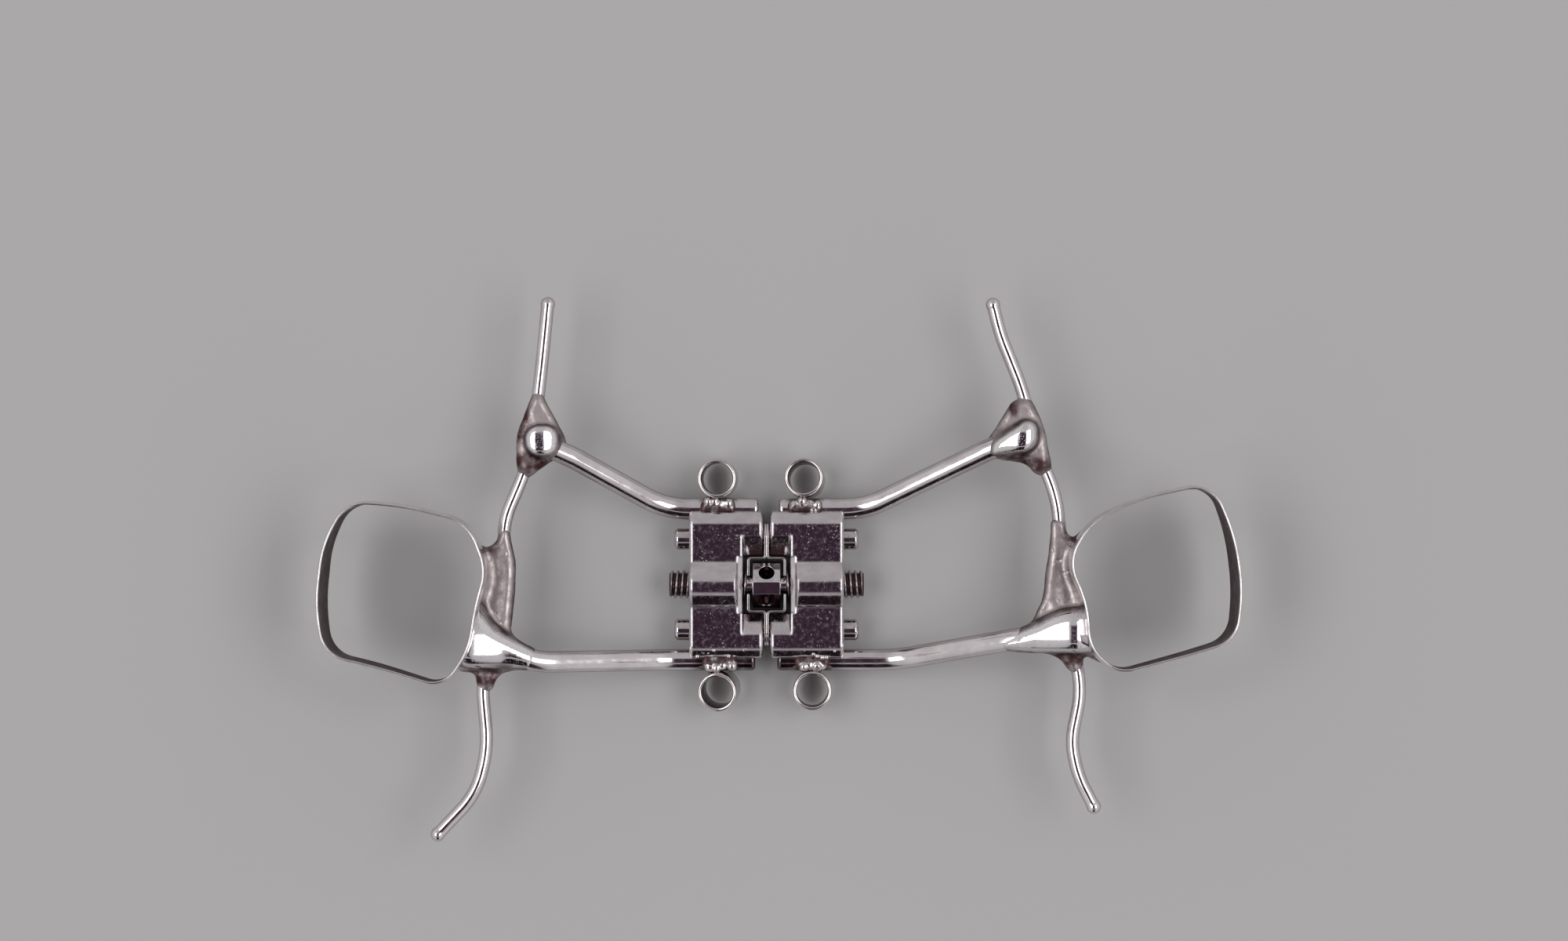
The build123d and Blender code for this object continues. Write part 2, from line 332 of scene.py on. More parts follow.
def wire_material(name, lined, burnt):
    """Drawn wire: polished, with die lines along it, painted shade on its upright sides and, at the
    rear, ends darkened partly by weld burn and partly by painted shade.
    """
    made, shader = material(name)
    lines = shader.noise(0.07, detail=2.0, where=shader.along_wire(40))
    scores = shader.ease(shader.noise(0.13, detail=1.0, where=shader.along_wire(60)), 0.62, 0.68)
    scores = shader.math("MULTIPLY", scores, shader.ease(shader.noise(2.4), 0.40, 0.55, 0.0, lined))
    patches = shader.noise(1.4)
    colour = shader.blend(shader.ease(patches, 0.35, 0.7), (0.78, 0.75, 0.76), (0.68, 0.64, 0.65))
    colour = shader.blend(scores, colour, (0.26, 0.18, 0.19))
    # Painted shade: the colour darkens to a brown grey where the wire's surface turns upright
    sides = shader.ease(shader.facing_up(), 0.15, 0.55, 1.0, 0.0)
    colour = shader.blend(sides, colour, (0.33, 0.26, 0.265))
    # Near the housing the rear arms darken to a near black brown: partly weld burn, partly painted
    # shade
    x, y = shader.axes()[:2]
    burn_and_painted_shade = shader.ease(shader.math("ABSOLUTE", x), 4.4, 5.6, burnt, 0.0)
    burn_and_painted_shade = shader.math("MULTIPLY", burn_and_painted_shade, shader.ease(y, -4.0, -3.0, 1.0, 0.0))
    burn_and_painted_shade = shader.math("MULTIPLY", burn_and_painted_shade, shader.ease(patches, 0.3, 0.5, 0.6, 1.0))
    colour = shader.blend(burn_and_painted_shade, colour, (0.10, 0.06, 0.065))
    roughness = shader.ease(shader.noise(0.5), 0.3, 0.75, 0.09, 0.2)
    shader.metal(colour, roughness, shader.bump(lines, 0.0012))
    return made


def housing_material():
    """Milled steel: near-mirror flats with worn edges, a fine grain, scuffs and scratches."""
    made, shader = material("housing_steel_look")
    grain = shader.noise(0.05, detail=3.0)
    mottle = shader.noise(0.6, (1.6, 1, 1))
    colour = shader.blend(shader.ease(mottle, 0.3, 0.7), (0.74, 0.71, 0.73), (0.64, 0.60, 0.62))
    scratches = shader.ease(shader.noise(0.05, (1, 9, 1), detail=1.0), 0.74, 0.80)
    scuffs = shader.ease(shader.noise(0.16, detail=6.0, roughness=0.75), 0.58, 0.73)
    scuffs = shader.math("MULTIPLY", scuffs, shader.ease(shader.noise(1.3), 0.47, 0.60))
    worn = shader.math("MAXIMUM", scuffs, shader.math("MULTIPLY", scratches, 0.5))
    haze = shader.ease(shader.noise(0.3, detail=6.0, roughness=0.75), 0.42, 0.68, 0.0, 0.16)
    roughness = shader.math("ADD", shader.ease(grain, 0.3, 0.7, 0.05, 0.11), worn)
    roughness = shader.math("ADD", roughness, haze)
    relief = shader.math("ADD", shader.math("MULTIPLY", grain, 0.25), worn)
    worn_edges = shader.node("ShaderNodeBevel", samples=6)
    worn_edges.inputs["Radius"].default_value = EDGE_WEAR * MM
    normal = shader.bump(relief, 0.002, normal=worn_edges.outputs["Normal"])
    shader.metal(colour, shader.math("MINIMUM", roughness, 0.42), normal)
    return made


def machined_material(name, bright, dull, stain, low=0.08, high=0.2, stained=0.35):
    """Turned or pressed steel: a fine grain, with brown stain gathered in the mottle."""
    made, shader = material(name)
    grain = shader.noise(0.05, detail=3.0)
    mottle = shader.noise(0.45)
    colour = shader.blend(shader.ease(mottle, 0.35, 0.7), bright, dull)
    colour = shader.blend(shader.ease(shader.noise(0.3), 0.58, 0.75, 0.0, stained), colour, stain)
    roughness = shader.ease(mottle, 0.3, 0.75, low, high)
    shader.metal(colour, roughness, shader.bump(grain, 0.001))
    return made


def thread_material():
    """Cut thread: grey crests, with painted shade down in the grooves."""
    made, shader = material("thread_painted_groove_shade_look")
    y, z = shader.axes()[1:]
    square = shader.math("ADD", shader.math("MULTIPLY", y, y), shader.math("MULTIPLY", z, z))
    radius = shader.math("SQRT", square)
    crest = shader.ease(radius, THREAD_RADIUS - 0.8 * THREAD_DEPTH, THREAD_RADIUS - 0.02)
    # Painted shade: the colour darkens from the crests down into the grooves
    colour = shader.blend(crest, (0.07, 0.04, 0.045), (0.55, 0.50, 0.51))
    shader.metal(colour, 0.32, shader.bump(shader.noise(0.1), 0.002))
    return made


def clip_material():
    """Spring strip: bright on its rolled edges, with painted shade on its upright faces outside the
    box that holds the head and towards the rear.
    """
    made, shader = material("clip_steel_look")
    # Painted shade: upright faces outside the box or towards the rear turn a near black brown
    upright = shader.ease(shader.facing_up(), 0.3, 0.6, 1.0, 0.0)
    y = shader.axes()[1]
    outside = shader.ease(shader.math("ABSOLUTE", y), CLIP_Y - 0.07, CLIP_Y - 0.02)
    painted_shade_zone = shader.math("MAXIMUM", outside, shader.ease(y, 0.2, 0.8, 1.0, 0.0))
    dark = shader.math("MULTIPLY", upright, painted_shade_zone)
    mottle = shader.noise(0.4)
    colour = shader.blend(shader.ease(mottle, 0.35, 0.7), (0.80, 0.77, 0.77), (0.66, 0.61, 0.61))
    colour = shader.blend(dark, colour, (0.08, 0.045, 0.05))
    shader.metal(colour, shader.ease(mottle, 0.3, 0.75, 0.12, 0.26), shader.bump(mottle, 0.001))
    return made


def solder_material():
    """Silver solder: satin grey with pits, polished on its crown, and dark brown at its rims and
    undersides, partly oxide and partly painted shade.
    """
    made, shader = material("solder_look")
    polish = shader.attribute("polish")
    stain = shader.attribute("stain")
    mottle = shader.noise(0.8, detail=6.0, roughness=0.6)
    fine = shader.noise(0.09, detail=4.0)
    grey = shader.blend(shader.ease(mottle, 0.35, 0.7), (0.52, 0.465, 0.465), (0.36, 0.31, 0.31))
    # The stain attribute turns the colour dark brown: partly oxide, partly painted shade on sides
    # and undersides
    browned_and_painted_shade = shader.math("MULTIPLY", stain, shader.ease(mottle, 0.3, 0.6, 0.45, 1.0))
    polish = shader.math("MULTIPLY", polish, shader.ease(fine, 0.25, 0.4))
    colour = shader.blend(polish, grey, (0.82, 0.80, 0.81))
    colour = shader.blend(browned_and_painted_shade, colour, (0.075, 0.038, 0.04))
    satin = shader.ease(mottle, 0.3, 0.75, 0.26, 0.42)
    dull = shader.math("SUBTRACT", 1.0, polish)
    roughness = shader.math("ADD", shader.math("MULTIPLY", satin, dull), 0.07)
    pits = shader.ease(shader.noise(0.22, detail=1.0), 0.24, 0.32, 0.0, 1.5)
    relief = shader.math("MULTIPLY", shader.math("ADD", fine, pits), dull)
    shader.metal(colour, roughness, shader.bump(relief, 0.012))
    return made


def weld_material():
    """Weld metal: smooth bright drops, burnt brown between and round them."""
    made, shader = material("weld_look")
    patches = shader.noise(0.35, detail=5.0, roughness=0.65)
    bright = shader.math("MULTIPLY", shader.attribute("polish"), shader.ease(patches, 0.66, 0.58))
    colour = shader.blend(bright, (0.11, 0.065, 0.068), (0.70, 0.66, 0.66))
    roughness = shader.ease(bright, 0.0, 1.0, 0.34, 0.16)
    shader.metal(colour, roughness, shader.bump(shader.noise(0.1), 0.006))
    return made


def band_material():
    """Thin polished strip: bright, with faint rubbing marks round it and cement haze."""
    made, shader = material("band_look")
    rubbed = shader.noise(0.08, (6, 6, 1), detail=3.0)
    haze = shader.noise(1.1, detail=5.0)
    colour = shader.blend(shader.ease(haze, 0.35, 0.75), (0.80, 0.78, 0.79), (0.60, 0.55, 0.56))
    roughness = shader.ease(haze, 0.3, 0.75, 0.10, 0.26)
    shader.metal(colour, roughness, shader.bump(rubbed, 0.006))
    return made


def band_inside_material():
    """A band's inside: a dark brown all over, painted shade."""
    made, shader = material("band_inside_painted_shade")
    stain = shader.noise(0.8, detail=5.0)
    lighter = shader.ease(stain, 0.3, 0.7)
    # Painted shade: the whole inner wall is a near black brown
    colour = shader.blend(lighter, (0.034, 0.010, 0.013), (0.075, 0.032, 0.037))
    roughness = shader.ease(stain, 0.3, 0.7, 0.38, 0.52)
    shader.metal(colour, roughness, shader.bump(shader.noise(0.12, detail=3.0), 0.01))
    return made


# Meshes
def unit(vector):
    """The vector at a length of one."""
    return vector / np.linalg.norm(vector)


def rounded(corners, radius=None, closed=False):
    """A route's points, with an arc at every corner as large as its runs allow, or of a radius."""
    route = [np.array(corner, float) for corner in corners]
    count = len(route)
    points = [] if closed else [route[0]]
    for index in range(count) if closed else range(1, count - 1):
        before, corner, after = route[index - 1], route[index], route[(index + 1) % count]
        run_in, run_out = corner - before, after - corner
        towards, away = unit(run_in), unit(run_out)
        turn = math.acos(max(-1.0, min(1.0, float(towards @ away))))
        shorter = min(np.linalg.norm(run_in), np.linalg.norm(run_out))
        tangent = radius * math.tan(turn / 2) if radius else BEND_SHARE * shorter
        arc = tangent / math.tan(turn / 2)
        inward = unit(away - towards * (towards @ away))
        start = corner - towards * tangent
        centre = start + inward * arc
        for step in np.linspace(0, turn, BEND_STEPS):
            points.append(centre + arc * (towards * math.sin(step) - inward * math.cos(step)))
    points.append(points[0] if closed else route[-1])
    return np.array(points)


def evenly(points, step=None, count=None):
    """A route's points again, the same distance apart."""
    lengths = np.r_[0, np.cumsum(np.linalg.norm(np.diff(points, axis=0), axis=1))]
    count = count or int(lengths[-1] / step) + 1
    wanted = np.linspace(0, lengths[-1], count)
    return np.column_stack([np.interp(wanted, lengths, axis) for axis in points.T])


def place(node, suffix, mesh, body, slot, *materials):
    """Makes a mesh the piece that stands for a node, with its materials, on its body; the slot is
    not used.
    """
    piece = bpy.data.objects.new(node + suffix, mesh)
    bpy.context.scene.collection.objects.link(piece)
    for look in materials:
        mesh.materials.append(look)
    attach(piece, body)
    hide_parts(node)
    return piece


def flat_shaded(piece):
    """Keeps large flats flat in shading, so that only their rounded edges turn."""
    normals = piece.modifiers.new("normals", "WEIGHTED_NORMAL")
    normals.keep_sharp = True


def mesh_from(name, points, faces):
    """A smooth mesh of points in millimetres, with its faces turned outwards."""
    mesh = bpy.data.meshes.new(name)
    mesh.from_pydata((np.asarray(points) * MM).tolist(), [], faces)
    mesh.polygons.foreach_set("use_smooth", [True] * len(mesh.polygons))
    work = bmesh.new()
    work.from_mesh(mesh)
    bmesh.ops.recalc_face_normals(work, faces=work.faces)
    work.to_mesh(mesh)
    work.free()
    return mesh


def ring_faces(rows, around, closed=False):
    """Quads between rings of as many points each, which close on themselves or end in caps."""
    faces = []
    for row in range(rows if closed else rows - 1):
        here, above = row * around, (row + 1) % rows * around
        for step in range(around):
            after = (step + 1) % around
            faces.append((here + step, here + after, above + after, above + step))
    if not closed:
        faces.append(tuple(reversed(range(around))))
        faces.append(tuple(range((rows - 1) * around, rows * around)))
    return faces


def sweep(name, route, radii, around=40):
    """A round rod along a route, with a radius at each point and its two ends closed."""
    tangents = np.gradient(route, axis=0)
    tangents /= np.linalg.norm(tangents, axis=1)[:, None]
    side = unit(np.cross(tangents[0], (0, 0, 1)))
    angles = np.linspace(0, 2 * math.pi, around, endpoint=False)
    lengths = np.r_[0, np.cumsum(np.linalg.norm(np.diff(route, axis=0), axis=1))]
    circle = np.column_stack([np.cos(angles), np.sin(angles)])
    points, places = [], []
    for centre, tangent, radius, length in zip(route, tangents, radii, lengths):
        side = unit(side - tangent * (side @ tangent))
        points.append(centre + radius * circle @ np.array([side, np.cross(side, tangent)]))
        places.append(np.column_stack([np.full(around, length), radius * circle]))
    mesh = mesh_from(name, np.concatenate(points), ring_faces(len(route), around))
    layer = mesh.attributes.new("wire", "FLOAT_VECTOR", "POINT")
    layer.data.foreach_set("vector", np.concatenate(places).astype(np.float32).ravel())
    return mesh


def lathe(profile, centre, axis, around=96, closed=False):
    """Points and faces of a turned shape, from (place along the axis, radius) pairs."""
    axis = unit(np.array(axis, float))
    side = unit(np.cross(axis, (0.3, 0.2, 0.93)))
    up = np.cross(axis, side)
    angles = np.linspace(0, 2 * math.pi, around, endpoint=False)
    circle = np.outer(np.cos(angles), side) + np.outer(np.sin(angles), up)
    points = [np.array(centre) + along * axis + radius * circle for along, radius in profile]
    return np.concatenate(points), ring_faces(len(profile), around, closed)


def eased_copy(node, width, segments=3):
    """A copy of a node's mesh with its sharp edges rounded over."""
    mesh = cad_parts[node].data.copy()
    mesh.name = node + "_eased"
    mesh.materials.clear()
    if "custom_normal" in mesh.attributes:
        mesh.attributes.remove(mesh.attributes["custom_normal"])
    work = bmesh.new()
    work.from_mesh(mesh)
    bmesh.ops.remove_doubles(work, verts=work.verts, dist=0.0005 * MM)
    bmesh.ops.dissolve_limit(
        work, angle_limit=math.radians(LEVEL_TURN), verts=work.verts, edges=work.edges
    )
    joining = [edge for edge in work.edges if len(edge.link_faces) == 2]
    sharp = [edge for edge in joining if edge.calc_face_angle(0) > math.radians(EASED_TURN)]
    bmesh.ops.bevel(
        work, geom=sharp, offset=width * MM, offset_type="OFFSET", segments=segments,
        profile=0.5, affect="EDGES", clamp_overlap=True,
    )
    for face in work.faces:
        face.smooth = True
    work.to_mesh(mesh)
    work.free()
    mesh.set_sharp_from_angle(angle=math.radians(EASED_BREAK))
    return mesh


# Distance fields for the solder and the welds
def smoother(value):
    """A share from 0 to 1 that starts and ends level."""
    value = np.clip(value, 0, 1)
    return value * value * (3 - 2 * value)


def fallen(run, slope, turn):
    """How far a curve has fallen after a run: level at its start, then bent to a slope."""
    return slope * (np.sqrt(run**2 + turn**2) - turn)


def rimmed(beside, above, rounding):
    """Distance to where both of two distances are under nothing, with a rounded rim."""
    beside, above = beside + rounding, above + rounding
    beyond = np.hypot(np.maximum(beside, 0), np.maximum(above, 0))
    return beyond + np.minimum(np.maximum(beside, above), 0) - rounding


class Field:
    """Distances in millimetres to a blended shape, on a grid over a box."""

    def __init__(self, low, high, step=FIELD_STEP):
        self.low, self.step = np.array(low, float), step
        axes = [np.arange(a, b + step, step) for a, b in zip(low, high)]
        self.points = np.stack(np.meshgrid(*axes, indexing="ij"), axis=-1)
        self.value = np.full(self.points.shape[:3], FAR)

    def rod(self, start, end, start_radius, end_radius):
        """Distance to a rod with round ends that tapers."""
        start, end = np.array(start, float), np.array(end, float)
        run = end - start
        share = np.clip((self.points - start) @ run / (run @ run), 0, 1)
        away = np.linalg.norm(self.points - (start + share[..., None] * run), axis=-1)
        return away - (start_radius + share * (end_radius - start_radius))

    def route(self, points, radii):
        """Distance to a chain of tapering rods."""
        links = zip(points, points[1:], radii, radii[1:])
        return np.minimum.reduce([self.rod(*link) for link in links])

    def outline(self, corners):
        """Distance from a closed outline seen along Z, less than nothing inside it."""
        flat = self.points[:, :, 0, :2]
        corners = np.array(corners, float)
        nearest = np.full(flat.shape[:2], 99.0)
        inside = np.zeros(flat.shape[:2], bool)
        for start, end in zip(corners, np.roll(corners, -1, axis=0)):
            run = end - start
            share = np.clip((flat - start) @ run / (run @ run), 0, 1)
            away = np.linalg.norm(flat - start - share[..., None] * run, axis=-1)
            nearest = np.minimum(nearest, away)
            crosses = (start[1] > flat[..., 1]) != (end[1] > flat[..., 1])
            rise = end[1] - start[1] if end[1] != start[1] else 1e-9
            reach = start[0] + (flat[..., 1] - start[1]) / rise * run[0]
            inside ^= crosses & (flat[..., 0] < reach)
        return np.where(inside, -nearest, nearest)[:, :, None]

    def pad(self, corners, middle, half_height, rounding):
        """Distance to a flat pad with a rounded rim, of an outline seen along Z."""
        above = np.abs(self.points[..., 2] - middle) - half_height
        return rimmed(self.outline(corners), above, rounding)

    def crown(self, corners, peak, falls, rounding):
        """Distance to a raised top that falls away from its peak to the left, right and in Y."""
        left, right, along_y = falls
        beyond_x, beyond_y = self.points[..., 0] - peak[0], self.points[..., 1] - peak[1]
        fall = np.where(beyond_x < 0, fallen(beyond_x, *left), fallen(beyond_x, *right))
        above = self.points[..., 2] - peak[2] + fall + fallen(beyond_y, *along_y)
        shape = rimmed(self.outline(corners), above, rounding)
        return np.maximum(shape, PAD_MIDDLE - self.points[..., 2])

    def at(self, values, points):
        """The grid's values at the grid points nearest to the points given."""
        nearest = np.rint((points - self.low) / self.step).astype(int)
        x, y, z = np.clip(nearest, 0, np.array(values.shape) - 1).T
        return values[x, y, z]

    def join(self, other, softness):
        """Adds a shape, with a fillet of about the softness."""
        share = np.clip(0.5 + 0.5 * (other - self.value) / softness, 0, 1)
        blended = other * (1 - share) + self.value * share
        self.value = blended - softness * share * (1 - share)

    def cut(self, other):
        """Takes a shape away."""
        self.value = np.maximum(self.value, -other)

    def surface(self):
        """The points and faces where the distance is nothing."""
        grid = openvdb.FloatGrid(FAR)
        grid.copyFromArray(self.value.astype(np.float32))
        points, quads = grid.convertToQuads(isovalue=0.0)
        return points * self.step + self.low, quads


def roughened(points, normals, depth, size, pits=0.0):
    """Points moved along their normals by lumps of a size, with pits where lumps are lowest."""
    moved = np.array(points)
    for index, (point, normal) in enumerate(zip(points, normals)):
        lump = noise.fractal(Vector(point / size), 1.0, 2.2, 3)
        hole = max(0.0, noise.noise(Vector(point / (0.35 * size)) + Vector((7, 3, 1))) - 0.55)
        moved[index] += normal * (depth * lump - pits * hole)
    return moved


def nearness(points, spots):
    """How near each point is to any of the spots, given as places with their reaches."""
    near = np.zeros(len(points))
    for centre, reach in spots:
        away = np.linalg.norm((points - np.array(centre)) / np.array(reach), axis=1)
        near = np.maximum(near, smoother((1.25 - away) / 0.7))
    return near


def field_mesh(name, field, polish, depth, size, pits=0.0, stained=()):
    """A field's surface as a roughened mesh, with its polish and stain kept at its points; the
    stain is partly painted shade.
    """
    points, quads = field.surface()
    mesh = mesh_from(name, points, quads.tolist())
    normals = np.zeros(len(points) * 3)
    mesh.vertices.foreach_get("normal", normals)
    normals = normals.reshape(-1, 3)
    polish = polish(points)
    steady = (1 - polish)[:, None]
    moved = points + (roughened(points, normals, depth, size, pits) - points) * steady
    mesh.vertices.foreach_set("co", (moved * MM).ravel())
    # Stain: painted shade where the surface turns upright or faces down, and at the listed places,
    # partly oxide and partly painted shade
    stain = np.maximum(smoother((0.72 - normals[:, 2]) / 0.6), nearness(points, stained))
    for label, values in (("polish", polish), ("stain", stain)):
        layer = mesh.attributes.new(label, "FLOAT", "POINT")
        layer.data.foreach_set("value", values.astype(np.float32))
    mesh.update()
    return mesh


# Looks
bar_steel = wire_material("bar_steel_look", lined=0.4, burnt=0.0)
arm_steel = wire_material("arm_steel_look", lined=0.9, burnt=0.9)
housing_steel = housing_material()
screw_steel = machined_material(
    "screw_steel_look", (0.78, 0.75, 0.76), (0.66, 0.62, 0.63), (0.24, 0.14, 0.14),
    low=0.06, high=0.16,
)
thread_steel = thread_material()
clip_steel = clip_material()
pin_steel = machined_material(
    "pin_steel_look", (0.66, 0.63, 0.63), (0.52, 0.47, 0.47), (0.28, 0.17, 0.17)
)
tube_steel = machined_material(
    "tube_steel_look", (0.72, 0.68, 0.68), (0.60, 0.55, 0.55), (0.30, 0.18, 0.18), stained=0.6
)
# Painted shade: tube bores, key holes and the pins' bare middles take this dark brown look
bore_painted_shade = machined_material(
    "bore_painted_shade_look", (0.26, 0.17, 0.18), (0.15, 0.09, 0.10), (0.10, 0.05, 0.05),
    low=0.15, high=0.3,
)
solder_look = solder_material()
weld_look = weld_material()
band_steel = band_material()
band_inside_painted_shade = band_inside_material()


# Housings, clip strips and pins
for side in ("left", "right"):
    node = side + "_housing"
    mesh = eased_copy(node, HOUSING_EASE, segments=4)
    flat_shaded(place(node, "_body", mesh, side + "_half", "housing_steel", housing_steel))
    node = side + "_clip_strip"
    mesh = eased_copy(node, STRIP_EASE)
    flat_shaded(place(node, "_bent", mesh, "centre", "clip_steel", clip_steel))

for node, y in (("front_guide_pin", PIN_Y), ("rear_guide_pin", -PIN_Y)):
    half = [
        (PIN_HALF_LENGTH, 0.02),
        (PIN_HALF_LENGTH, PIN_RADIUS - PIN_CHAMFER),
        (PIN_HALF_LENGTH - 0.25 * PIN_CHAMFER, PIN_RADIUS - 0.6 * PIN_CHAMFER),
        (PIN_HALF_LENGTH - PIN_CHAMFER, PIN_RADIUS),
        (PIN_HALF_LENGTH - 1.4 * PIN_CHAMFER, PIN_RADIUS),
        (PIN_BARE_HALF_LENGTH, PIN_RADIUS),
    ]
    profile = [(-along, radius) for along, radius in half] + half[::-1]
    pin = mesh_from(node, *lathe(profile, (0, y, 0), (1, 0, 0)))
    # The bare middle, down in the housings' pocket, takes the dark bore look: painted shade
    for face in pin.polygons:
        face.material_index = 1 if abs(face.center.x) < PIN_BARE_HALF_LENGTH * MM else 0
    pin.set_sharp_from_angle(angle=math.radians(TURNED_BREAK))
    place(node, "_turned", pin, "centre", "screw_steel", pin_steel, bore_painted_shade)


# Spindle: the head as it is in the frame, with a cut thread of each hand
def thread(hand):
    """Points and faces of one threaded end; hand is 1 on the right end and -1 on the left."""
    around = THREAD_AROUND
    count = int((THREAD_END - THREAD_START) / THREAD_PITCH * THREAD_ROWS_PER_TURN)
    places = np.linspace(THREAD_START, THREAD_END, count)
    shares, heights = (0.0, 0.12, 0.42, 0.58, 0.88, 1.0), (0.0, 0.0, 1.0, 1.0, 0.0, 0.0)
    angles = np.arange(around) * 2 * math.pi / around
    turns = places[:, None] / THREAD_PITCH - angles[None, :] / (2 * math.pi)
    crest = np.interp(turns % 1.0, shares, heights)
    radii = THREAD_RADIUS - THREAD_DEPTH * (1 - crest)
    room = THREAD_RADIUS - THREAD_CHAMFER + np.minimum(THREAD_END - places, 1.0)
    radii = np.minimum(radii, room[:, None])
    along = np.broadcast_to(hand * places[:, None], radii.shape)
    points = np.stack([along, radii * np.cos(angles), radii * np.sin(angles)], axis=-1)
    faces = ring_faces(count, around)
    if hand < 0:
        faces = [tuple(reversed(face)) for face in faces]
    return points.reshape(-1, 3), faces


def in_key_hole(face):
    """Whether a face of the head is in the wall of a key hole."""
    x, y, z = face.calc_center_median() / MM
    for turn in (math.radians(KEY_TILT), math.radians(KEY_TILT + 90)):
        axis = Vector((0, math.sin(turn), math.cos(turn)))
        away = math.hypot(x, y * axis.z - z * axis.y)
        if away < KEY_HOLE_RADIUS + 0.02 and abs(face.normal @ axis) < 0.3:
            return True
    return False


def spindle_mesh():
    """The spindle's parts by look: 0 for turned steel, 1 for its threads, 2 for its key holes."""
    mesh = eased_copy("spindle", HEAD_EASE)
    work = bmesh.new()
    work.from_mesh(mesh)
    for face in work.faces:
        face.material_index = 2 if in_key_hole(face) else 0
    beyond = [v for v in work.verts if abs(v.co.x) > (THREAD_START - 0.02) * MM]
    bmesh.ops.delete(work, geom=beyond, context="VERTS")
    bmesh.ops.holes_fill(work, edges=[edge for edge in work.edges if edge.is_boundary], sides=0)
    for hand in (1, -1):
        points, faces = thread(hand)
        corners = [work.verts.new(Vector(point) * MM) for point in points]
        for face in faces:
            made = work.faces.new([corners[index] for index in face])
            made.smooth = True
            made.material_index = 1
    work.to_mesh(mesh)
    work.free()
    mesh.set_sharp_from_angle(angle=math.radians(EASED_BREAK))
    return mesh


# The key holes take the dark bore look: painted shade
looks = (screw_steel, thread_steel, bore_painted_shade)
flat_shaded(place("spindle", "_threaded", spindle_mesh(), "spindle", "screw_steel", *looks))

# Palatal bars, with melted round tips
bar_lines = {}
for side, corners in BAR_ROUTES.items():
    line = evenly(rounded([(x, y, BAR_Z) for x, y in corners]), WIRE_STEP)
    bar_lines[side] = line
    before = line[0] - unit(line[1] - line[0]) * BAR_TIP_RADIUS
    after = line[-1] + unit(line[-1] - line[-2]) * BAR_TIP_RADIUS
    first = [line[0] + (before - line[0]) * share for share in reversed(TIP_SHARES)]
    last = [line[-1] + (after - line[-1]) * share for share in TIP_SHARES]
    line = np.vstack([first, line, last])
    ends = bar_lines[side][[0, -1]]
    away = np.min(np.linalg.norm(line[:, None] - ends[None], axis=2), axis=1)
    ball = np.sqrt(np.maximum(BAR_TIP_RADIUS**2 - away**2, 0.0))
    beyond = np.ones(len(line), bool)
    beyond[len(TIP_SHARES):-len(TIP_SHARES)] = False
    radii = np.where(beyond, ball, np.maximum(ball, BAR_RADIUS))
    node = side + "_palatal_bar"
    mesh = sweep(node, line, radii)
    place(node, "_wire", mesh, side + "_half", "wire_steel", bar_steel)

# Arms
arm_lines = {}
for (end, side), arm in ARMS.items():
    y = AHEAD[end] * ARM_Y
    corners = [(arm["inner_x"], y, 0), (arm["exit_x"], y, 0), arm["bend"], arm["end"]]
    line = evenly(rounded(corners, radius=ARM_BEND), WIRE_STEP)
    arm_lines[end, side] = line
    run = np.linalg.norm(line - line[0], axis=1)
    radii = np.where(run < ARM_CHAMFER, ARM_RADIUS - ARM_CHAMFER + run, ARM_RADIUS)
    node = f"{end}_{side}_arm"
    mesh = sweep(node, line, radii, around=56)
    mesh.set_sharp_from_angle(angle=math.radians(TURNED_BREAK))
    place(node, "_rod", mesh, side + "_half", "wire_steel", arm_steel)


# Tubes
def tube_profile():
    """A tube's section: up its outside, over its rim, down its bore and round its other rim."""
    half = TUBE_LENGTH / 2
    rim = [math.radians(angle) for angle in TUBE_RIM_ANGLES]
    rim = [(TUBE_RIM * (1 - math.sin(turn)), TUBE_RIM * (1 - math.cos(turn))) for turn in rim]
    outer = [(half - fall, TUBE_RADIUS - inset) for fall, inset in rim]
    inner = [(half - fall, TUBE_BORE_RADIUS + inset) for fall, inset in rim[::-1]]
    top = outer + inner
    return top + [(-along, radius) for along, radius in top[::-1]]


for (end, side), arm in ARMS.items():
    profile = tube_profile()
    y = AHEAD[end] * TUBE_Y
    lean_x, lean_y = arm["lean"]
    node = f"{end}_{side}_tube"
    centre, axis = (arm["tube_x"], y, 0), (-lean_x, -lean_y, TUBE_LENGTH)
    mesh = mesh_from(node, *lathe(profile, centre, axis, TUBE_AROUND, closed=True))
    bore_end = len(profile) // 2 * TUBE_AROUND
    # The bore takes the dark bore look: painted shade
    for face in mesh.polygons[bore_end - TUBE_AROUND:bore_end]:
        face.material_index = 1
    mesh.set_sharp_from_angle(angle=math.radians(TURNED_BREAK))
    place(node, "_ring", mesh, side + "_half", "tube_steel", tube_steel, bore_painted_shade)


# Bands
def band_outline(side):
    """A band's widest outline as points in order, and its middle."""
    corners = np.array(BAND_OUTLINES[side])
    return evenly(rounded(corners, closed=True), count=361)[:-1], corners.mean(axis=0)


def band_scale(z):
    """How wide the band is at a height, against its widest outline."""
    heights, sizes = zip(*BAND_LEVELS)
    return np.polyval(np.polyfit(heights, sizes, 2), z)


